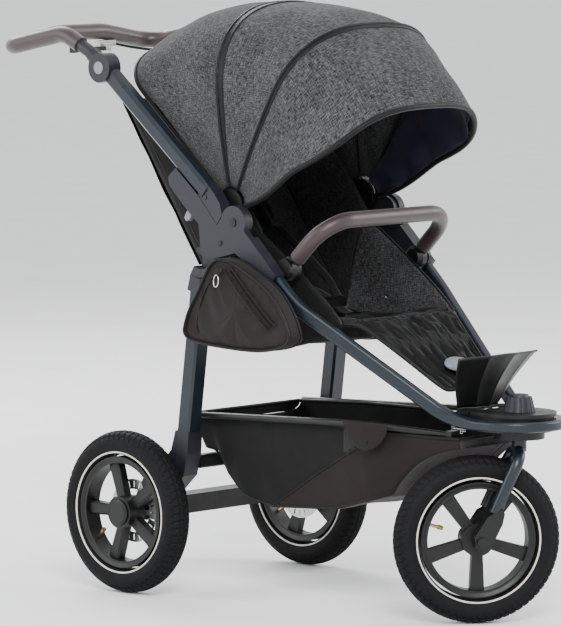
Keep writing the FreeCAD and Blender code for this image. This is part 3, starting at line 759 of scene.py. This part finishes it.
def backrest():
    length, half = 0.478, 0.146

    def base(u, v):
        along = 0.024 + (length - 0.024) * u
        x = half * (2 * v - 1)
        hollow = 0.006 * (1 - (2 * v - 1) ** 2)
        return on_back(x, along, 0.021 - hollow), BACK_OUT
    # The pad's face is the grey melange darkened as painted shade under the canopy.
    pad = quilt("backrest_pad", base, 56, 44, ("shaded_melange", "black_fabric"), 0.013, 0.022,
                seams_u=(0, 0.36, 0.68, 1), seams_v=(0, 0.22, 0.78, 1), pressure=1.6)
    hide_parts("backrest")

    def cover(u, v):
        along = 0.132 + 0.350 * u
        x = 0.1475 * (2 * v - 1)
        swell = 0.013 * math.sin(math.pi * u) ** 0.7 * (1 - abs(2 * v - 1) ** 4)
        crease = ripple(Vector((x, along, 0)), 0.003, 22.0) * math.sin(math.pi * u)
        return on_back(x, along, -0.002 - swell - crease)
    rear = surface("backrest_rear_cover", cover, 40, 40, "black_fabric")
    area = thicken(rear, CLOTH)
    finish_piece(rear, "backrest", "black_fabric")
    declare_sheet(rear, area, ["backrest_pad"])
    for side, word in SIDES:
        edge = [on_back(side * 0.148, a, o)
                for a, o in ((0.03, 0.02), (0.2, 0.021), (0.36, 0.021), (0.478, 0.019))]
        trim("backrest_piping_" + word, bend(edge), 0.0024, "backrest")


def seat():
    half = 0.1475
    line = bend([Vector((0, 0.036, 0.500)), Vector((0, -0.02, 0.497)), Vector((0, -0.10, 0.500)),
                 Vector((0, -0.18, 0.513)), Vector((0, -0.224, 0.519))])

    def base(u, v):
        p, d = path_point(line, u)
        x = half * (2 * v - 1)
        lift = 0.010 * abs(2 * v - 1) ** 3
        return Vector((x, p.y, p.z + lift)), Vector((0, d.z, -d.y))
    pad = quilt("seat_pad", base, 40, 44, ("black_fabric", "black_fabric"), 0.012, 0.030,
                seams_u=(0, 0.33, 0.66, 1), seams_v=(0, 0.2, 0.8, 1), pressure=1.6)
    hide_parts("seat_cushion")


def leg_rest():
    path = bend([Vector((0, -0.2335, 0.520)), Vector((0, -0.262, 0.515)), Vector((0, -0.340, 0.462)),
                 Vector((0, -0.412, 0.409))], 60)

    def base(u, v):
        p, d = path_point(path, u)
        wide = np.interp(u, (0, 0.15, 0.55, 0.93, 1), (0.1475, 0.144, 0.106, 0.074, 0.066))
        return Vector((wide * (2 * v - 1), p.y, p.z)), Vector((0, d.z, -d.y))
    lanes = tuple(np.linspace(0, 1, 9))
    pad = quilt("leg_rest_pad", base, 60, 73, ("black_fabric", "black_fabric"), 0.010, 0.010,
                seams_u=(0, 0.16, 0.55, 1), seams_v=lanes, pressure=1.4)
    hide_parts("leg_rest")
    rim = [base(u, 0.0)[0] for u in np.linspace(0, 1, 14)]
    rim += [base(1, v)[0] for v in np.linspace(0.1, 0.9, 8)]
    rim += [base(u, 1.0)[0] for u in np.linspace(1, 0, 14)]
    trim("leg_rest_binding", rim, 0.0032, "leg_rest")
    p, n = base(0.80, 0.5)
    d = (path[-8] - path[-16]).normalized()
    verts = [p + n * 0.0145]
    ring = 36
    for a in circle(ring):
        verts.append(p + n * 0.0125 + Vector((0.034 * math.cos(a), 0, 0)) + d * (0.019 * math.sin(a)))
    faces = [(0, 1 + (i + 1) % ring, 1 + i) for i in range(ring)]
    badge = make("leg_rest_badge", verts, faces, "light_plastic")
    thicken(badge, 0.003)
    finish_piece(badge, "leg_rest", "light_plastic")


def side_wings():
    """Upright side cloth of the seat, melange inside and black outside, with black cloth on the right wing's
    inside as painted shade, and the folding gussets, whose inner faces are the melange darkened as painted shade.
    """
    outline = [(0.036, 0.520), (-0.004, 0.664), (-0.042, 0.668), (-0.212, 0.545), (-0.221, 0.506),
               (-0.108, 0.472), (-0.003, 0.457), (0.036, 0.476)]
    for side, word in SIDES:
        x_in, x_out = side * 0.1500, side * 0.1530
        centre = Vector((0, sum(p[0] for p in outline) / 8, sum(p[1] for p in outline) / 8))
        edge = bend([Vector((0, y, z)) for y, z in outline] + [Vector((0, *outline[0]))], 64)[:-1]
        # The left wing's inside gets the grey melange; the right wing's inside gets black cloth as painted shade.
        inner = "melange_fabric" if side > 0 else "black_fabric"
        for x, mat, lift, face in ((x_in, inner, -1, "in"), (x_out, "black_fabric", 1, "out")):
            def point(u, v, x=x, lift=lift):
                p = centre.lerp(edge[int(round(v * 64)) % 64], 0.02 + 0.98 * u)
                wave = ripple(p, 0.0016, 26.0) * math.sin(math.pi * u)
                return Vector((x + side * (lift * 0.0007 * math.sin(math.pi * u) + wave * 0.5), p.y, p.z))
            panel = surface("seat_side_%s_%s" % (word, face), point, 14, 64, mat, wrap_v=True)
            flat_coords(panel)
            area = thicken(panel, 0.0010)
            finish_piece(panel, "frame", mat)
            declare_sheet(panel, area, ["side_panels"])
        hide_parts("side_panels")
        loop = [Vector(((x_in + x_out) / 2, p.y, p.z)) for p in edge]
        trim("seat_side_binding_" + word, loop, 0.0026, closed=True)

        low = bend([Vector((0, 0.034, 0.520)), Vector((0, 0.000, 0.655)), Vector((0, -0.036, 0.668)),
                    Vector((0, -0.020, 0.700)), Vector((0, 0.060, 0.800)), Vector((0, 0.190, 0.905))])
        high = [on_back(0, 0.028 + 0.452 * k / 40, 0.006) for k in range(41)]

        def gusset(u, v):
            a, b = low[int(round(v * 40))], high[int(round(v * 40))]
            p = a.lerp(b, u)
            fold = 0.004 * math.sin(v * 26 + 3 * u) * math.sin(math.pi * u)
            return Vector((side * (0.1488 + abs(fold) * 0.5), p.y + fold * 0.4, p.z))
        # The gusset's inner face is the grey melange darkened as painted shade inside the seat.
        mats = ["black_fabric", "shaded_melange"] if side > 0 else ["shaded_melange", "black_fabric"]
        wing = surface("seat_gusset_" + word, gusset, 16, 41, mats)
        area = thicken(wing, CLOTH, inner=1)
        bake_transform(wing)
        declare_sheet(wing, area, ["side_panels", "backrest_pad"])


def flat_coords(obj):
    """Cloth coordinates straight from Y and Z, for upright flat pieces."""
    layer = obj.data.attributes["cloth"]
    for i, v in enumerate(obj.data.vertices):
        layer.data[i].vector = (v.co.y, v.co.z, 0)


def harness():
    for side, word in SIDES:
        x = side * 0.046
        top = [on_back(x, a, 0.0405) for a in (0.41, 0.34)]
        rest, area = strap("shoulder_strap_" + word, bend([on_back(x, 0.42, 0.030)] + top), 0.025, 0.0015)
        finish_piece(rest, "backrest", "piping")
        declare_sheet(rest, area, ["backrest_pad"])

        def base(u, v, x=x):
            return on_back(x + 0.016 * (2 * v - 1), 0.172 + 0.166 * u, 0.0435), BACK_OUT
        # The shoulder pad's face is the grey melange darkened as painted shade under the canopy.
        pad = quilt("shoulder_pad_" + word, base, 30, 12, ("shaded_melange", "black_fabric"), 0.006, 0.003,
                    pressure=0.8)
        if side < 0:
            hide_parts("shoulder_pads")
        run = bend([on_back(x, 0.176, 0.043), Vector((x * 0.9, -0.010, 0.585)),
                    Vector((x * 0.45, -0.055, 0.560)), Vector((x * 0.25, -0.078, 0.545))])
        belt, area = strap("harness_strap_" + word, run, 0.024, 0.0015)
        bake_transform(belt)
        declare_sheet(belt, area, ["harness_buckle"])
    run = bend([Vector((0, -0.082, 0.535)), Vector((0, -0.108, 0.522)), Vector((0, -0.150, 0.5285))])
    crotch, area = strap("crotch_strap", run, 0.034, 0.0022)
    finish_piece(crotch, "frame", "piping")
    declare_sheet(crotch, area, ["seat_pad"])


BAG = [(-0.024, 0.632), (-0.002, 0.618), (0.024, 0.575), (0.057, 0.519), (0.052, 0.483), (-0.052, 0.472),
       (-0.148, 0.475), (-0.200, 0.500), (-0.156, 0.574), (-0.070, 0.622)]


def side_bag():
    edge = bend([Vector((0, y, z)) for y, z in BAG] + [Vector((0, *BAG[0]))], 120)[:-1]
    centre = Vector((0, -0.070, 0.540))
    verts, cloth, pins = [], [], []
    profile = [(0.03 + 0.97 * (k / 14) ** 0.8, 1 - 0.16 * (k / 14) ** 2) for k in range(15)]
    profile += [(1.0, 0.80), (1.003, 0.62), (1.003, 0.42), (1.0, 0.20), (0.985, 0.05), (0.95, 0.0),
                (0.80, 0.0), (0.6, 0.0), (0.4, 0.0), (0.2, 0.0), (0.03, 0.0)]
    rings = len(profile)
    for k, (reach, out) in enumerate(profile):
        for j, e in enumerate(edge):
            p = centre.lerp(e, reach)
            swell = out
            if k < 15:
                swell = out - 0.10 * (reach ** 3) + 0.03 * ripple(p, 1.0, 22.0)
            verts.append(Vector((-0.2175 - 0.0385 * swell, p.y, p.z)))
            cloth.append((p.y, p.z + 0.1 * (k > 14), 0))
            if k == 0 or 13 <= k:
                pins.append(len(verts) - 1)
    faces = grid_faces(rings, len(edge), wrap_v=True)
    faces.append(tuple(range(len(edge))))
    faces.append(tuple((rings - 1) * len(edge) + j for j in reversed(range(len(edge)))))
    obj = make("side_bag_body", verts, faces, ["bag_fabric", "under_fabric"], cloth)
    for poly in obj.data.polygons:
        if poly.center.y > 0.022 and poly.center.x > -0.2555:
            poly.material_index = 1
    face_outward(obj)
    obj.vertex_groups.new(name="pin").add(pins, 1.0, "REPLACE")
    SOFT.append((obj, 0.9))
    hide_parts("side_bag")

    def on_face(y, z, lift=0.0008):
        offset = Vector((0, y, z)) - centre
        reach = 0.0
        if offset.length > 1e-4:
            spokes = [e - centre for e in edge if (e - centre).normalized().dot(offset.normalized()) > 0.985]
            reach = min(1.0, max(offset.length / max(spoke.length, 1e-6) for spoke in spokes))
        return Vector((-0.2175 - 0.0385 * (1 - 0.16 * reach ** 2.4 - 0.10 * reach ** 3) - lift, y, z))
    trims = []
    for k, (a, b) in enumerate((((-0.039, 0.612), (-0.150, 0.510)), ((-0.056, 0.618), (-0.166, 0.520)))):
        line = [on_face(a[0] + (b[0] - a[0]) * t, a[1] + (b[1] - a[1]) * t, 0.0010)
                for t in np.linspace(0, 1, 24)]
        trims.append(tube("bag_zip_edge_%d" % k, line, 0.0016, "piping"))
    middle_line = [on_face(-0.0475 - 0.1105 * t, 0.615 - 0.100 * t, 0.0002)
                   for t in np.linspace(0.02, 0.98, 110)]
    teeth = [tube("bag_zip", middle_line, 0.0017, "cable_sheath")]
    loop = [on_face(-0.024 + 0.007 * math.cos(a), 0.592 + 0.011 * math.sin(a), 0.0032)
            for a in circle(14)]
    ring = tube("bag_ring_pull", loop, 0.0013, "steel", closed=True)
    tab = [on_face(-0.038 + 0.012 * t, 0.613 - 0.012 * t, 0.0026) for t in np.linspace(0, 1, 6)]
    trims.append(tube("bag_pull_tab", tab, 0.0022, "piping"))
    flap = bend([Vector((0, 0.020, 0.560)), Vector((0, 0.006, 0.600)), Vector((0, -0.020, 0.618)),
                 Vector((0, -0.062, 0.612))])
    trims.append(tube("bag_flap_seam", [on_face(p.y, p.z, 0.0006) for p in flap], 0.0011, "bag_fabric"))
    side_seam = bend([Vector((0, -0.010, 0.598)), Vector((0, 0.016, 0.560)), Vector((0, 0.030, 0.510)),
                      Vector((0, 0.020, 0.482))])
    trims.append(tube("bag_side_seam", [on_face(p.y, p.z, 0.0004) for p in side_seam], 0.0015, "piping"))
    bindings = (("bag_binding", -0.2500, 0.0026, 0.995), ("bag_inner_piping", -0.2190, 0.0022, 0.998))
    for name, out, radius, shrink in bindings:
        line = [Vector((out, *(centre.lerp(e, shrink)).yz)) for e in edge]
        trims.append(tube(name, line, radius, "piping", closed=True))
    for item in trims + teeth:
        finish_piece(item, "frame", "piping")
    finish_piece(ring, "frame", "steel")


def finish_soft():
    """After the simulation the pads ride on their bodies."""
    homes = {"backrest_pad": ("backrest", "melange_fabric", 0.6), "seat_pad": ("frame", "black_fabric", 0.6),
             "leg_rest_pad": ("leg_rest", "black_fabric", 0.5),
             "side_bag_body": ("frame", "bag_fabric", 0.4),
             "shoulder_pad_left": ("backrest", "melange_fabric", 0.5),
             "shoulder_pad_right": ("backrest", "melange_fabric", 0.5)}
    for obj, _ in SOFT:
        body, slot_name, fill = homes[obj.name]
        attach(obj, body)


# ------------------------------------------------------------------ basket and footrest
BASKET = [(0.150, 0.318), (0.126, 0.266), (0.092, 0.263), (0.074, 0.226), (0.030, 0.186), (-0.041, 0.172),
          (-0.195, 0.182), (-0.412, 0.244), (-0.484, 0.300)]


def basket_floor(y):
    """Height of the basket's bottom line at y."""
    ys, zs = zip(*sorted(BASKET))
    return float(np.interp(y, ys, zs))


def squashed(obj):
    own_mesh(obj)
    return obj


def caster_clear(p):
    """Pushes cloth out of the space that the caster wheel turns through."""
    flat = Vector((p.x, p.y - STEER.y, 0))
    d = Vector((max(flat.length - 0.077, 0.0), 0, p.z - WHEEL_R))
    if d.length < 0.166 and p.z > WHEEL_R * 0.8:
        need = math.sqrt(max(0.166 ** 2 - d.x ** 2, 0.0)) + WHEEL_R
        return Vector((p.x, p.y, max(p.z, need)))
    return p


def basket():
    back_y, front_y = 0.147, -0.470
    half = 0.1445

    def wall(side):
        def point(u, v):
            y = back_y + (front_y - back_y) * v
            top, low = 0.329 + 0.010 * math.sin(math.pi * min(1, v * 1.1)), basket_floor(y)
            z = low + (top - low) * u
            draw = 0.018 * (1 - u) ** 2
            sag = 0.0045 * math.sin(math.pi * u) + ripple(Vector((0, y, z)), 0.0035, 18.0)
            taper = np.interp(v, (0, 0.70, 1), (0, 0, 0.048))
            return caster_clear(Vector((side * (half - draw - taper + sag * 0.6), y, z)))
        return point
    for side, word in SIDES:
        obj = surface("basket_wall_" + word, wall(side), 26, 90, ["black_fabric", "net", "under_fabric"])
        flat_coords(obj)
        for poly in obj.data.polygons:
            y, z = poly.center.y, poly.center.z
            low = basket_floor(y)
            border = 0.176 + max(0.0, -0.05 - y) * 0.56 - 0.06 * max(0.0, -0.30 - y)
            if z < border and y < -0.05:
                poly.material_index = 2
            elif -0.275 < y < -0.232 and z > border + 0.008:
                poly.material_index = 1
        area = thicken(obj, CLOTH)
        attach(obj, "frame")
        squashed(obj)
        declare_sheet(obj, area, ["basket_rails"])
        rim = [wall(side)(1.0, v) for v in np.linspace(0, 1, 40)]
        squashed(trim("basket_rim_" + word, rim, 0.0034))
        seam = [wall(side)(0.02, v) for v in np.linspace(0, 1, 40)]
        squashed(trim("basket_seam_" + word, seam, 0.0018))
        diag = []
        for t in np.linspace(0, 1, 24):
            y = -0.05 - 0.25 * t
            z = 0.178 + 0.140 * t
            u = (z - basket_floor(y)) / (0.335 - basket_floor(y))
            p = wall(side)(min(max(u, 0), 1), (y - back_y) / (front_y - back_y))
            diag.append(p + Vector((side * 0.001, 0, 0)))
        squashed(trim("basket_diagonal_" + word, diag, 0.0016))

    def bottom(u, v):
        y = back_y + (front_y - back_y) * v
        a, b = wall(-1)(0.0, v), wall(1)(0.0, v)
        p = a.lerp(b, u)
        p.z += 0.004 * math.sin(math.pi * u) * ripple(Vector((p.x, y, 0)), 1.0, 12.0)
        return caster_clear(p)
    floor = surface("basket_floor", bottom, 24, 80, "under_fabric")
    for name, v, mat in (("basket_back", 0.0, "black_fabric"), ("basket_front", 1.0, "net")):
        def end(u, w, v=v):
            return wall(-1)(w, v).lerp(wall(1)(w, v), u) + Vector((0, (0.002 if v == 0 else -0.002), 0))
        panel = surface(name, end, 20, 16, mat)
        area = thicken(panel, CLOTH)
        squashed(finish_piece(panel, "frame", mat))
        declare_sheet(panel, area, ["basket_rails"])
        rim = [end(u, 1.0) for u in np.linspace(0, 1, 16)]
        squashed(trim(name + "_rim", rim, 0.0034))
    area = thicken(floor, 0.0014)
    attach(floor, "frame")
    squashed(floor)
    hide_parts("basket")
    declare_sheet(floor, area, ["basket_rails"])
    for side, word in SIDES:
        def flap(u, v, side=side):
            y = -0.252 - 0.100 * v
            drop = (0.050 * math.sin(math.pi * v) ** 0.6) * u
            out = 0.1672 - 0.020 * max(0, v - 0.5) - 0.1 * drop
            return Vector((side * out, y, 0.3555 - 0.004 * v - 0.002 - drop))
        tab = surface("basket_tab_" + word, flap, 12, 24, "under_fabric")
        area = thicken(tab, 0.0016)
        finish_piece(tab, "frame", "under_fabric")
        declare_sheet(tab, area, ["basket_rails"])
        snap = [Vector((side * 0.163, -0.302, 0.318)) + Vector((0, 0.006 * math.cos(a), 0.006 * math.sin(a)))
                for a in circle(12)]
        trim("basket_snap_" + word, snap, 0.0016, closed=True)


def footrest():
    """Ribbed fan over the plain scoop."""
    def plate(u, v):
        s = 2 * u - 1
        low = Vector((0.056 * s, -0.4475 + 0.017 * abs(s) ** 1.6, 0.3785))
        high = Vector((0.106 * s, -0.5040 + 0.028 * abs(s) ** 1.5, 0.4755 - 0.004 * abs(s)))
        rib = 0.0042 * abs(math.sin(3.5 * math.pi * u)) ** 0.6
        p = low.lerp(high, v)
        p.y += 0.006 * math.sin(math.pi * v) + rib
        return p
    fan = surface("footrest_fan", plate, 84, 20, "black_plastic", thick=0.003)
    finish_piece(fan, "frame", "black_plastic", "footrest")
    top = [plate(u, 1.0) for u in np.linspace(0, 1, 30)]
    trim("footrest_lip", top, 0.0024, mat="black_plastic")


# ------------------------------------------------------------------ studio
FLOOR_HALF = 90.0


def area_light(name, place, target, size, power):
    data = bpy.data.lights.new(name, "AREA")
    data.shape, data.size, data.energy = "DISK", size, power
    obj = link(bpy.data.objects.new(name, data))
    obj.location = place
    obj.rotation_euler = (Vector(target) - Vector(place)).to_track_quat("-Z", "Y").to_euler()


def studio():
    """A plain pale floor under four soft lights and a bright even sky."""
    f = Finish("pale_floor")
    f.feed("Base Color", f.ramp(f.noise(f.coords(1.0), 6.0, 2.0), (0.3, 0.80), (0.7, 0.83)))
    f.constants({"Roughness": 0.9})
    MATERIALS["floor"] = f.mat
    corners = [(x * FLOOR_HALF, y * FLOOR_HALF, -0.0005) for x, y in ((-1, -1), (1, -1), (1, 1), (-1, 1))]
    make("floor", corners, [(0, 1, 2, 3)], "floor")
    aim = (0, 0, 0.5)
    area_light("key", (-3.2, -3.4, 3.6), aim, 2.2, 330)
    area_light("fill", (-3.6, 2.6, 2.2), aim, 3.0, 110)
    area_light("side", (3.4, -2.4, 2.4), aim, 2.4, 130)
    area_light("back", (1.6, 3.6, 3.2), aim, 2.4, 170)
    world = bpy.data.worlds.new("studio")
    bpy.context.scene.world = world
    world.use_nodes = True
    background = world.node_tree.nodes["Background"]
    background.inputs["Color"].default_value = (0.97, 0.98, 1.0, 1.0)
    background.inputs["Strength"].default_value = 1.35


def camera():
    data = bpy.data.cameras.new("camera")
    data.lens, data.sensor_width = 285.98, 36.0
    data.shift_x, data.shift_y = 0.0054, 0.0046
    data.clip_end = 60.0
    obj = link(bpy.data.objects.new("camera", data))
    obj.location = (-6.606254, -6.243050, 1.413191)
    obj.rotation_euler = (math.pi / 2 - 0.0991345, 0, -0.8082315)
    bpy.context.scene.camera = obj


dress_cad()
tyres()
canopies()
backrest()
seat()
leg_rest()
side_bag()
side_wings()
harness()
simulate()
finish_soft()
basket()
footrest()
studio()
camera()
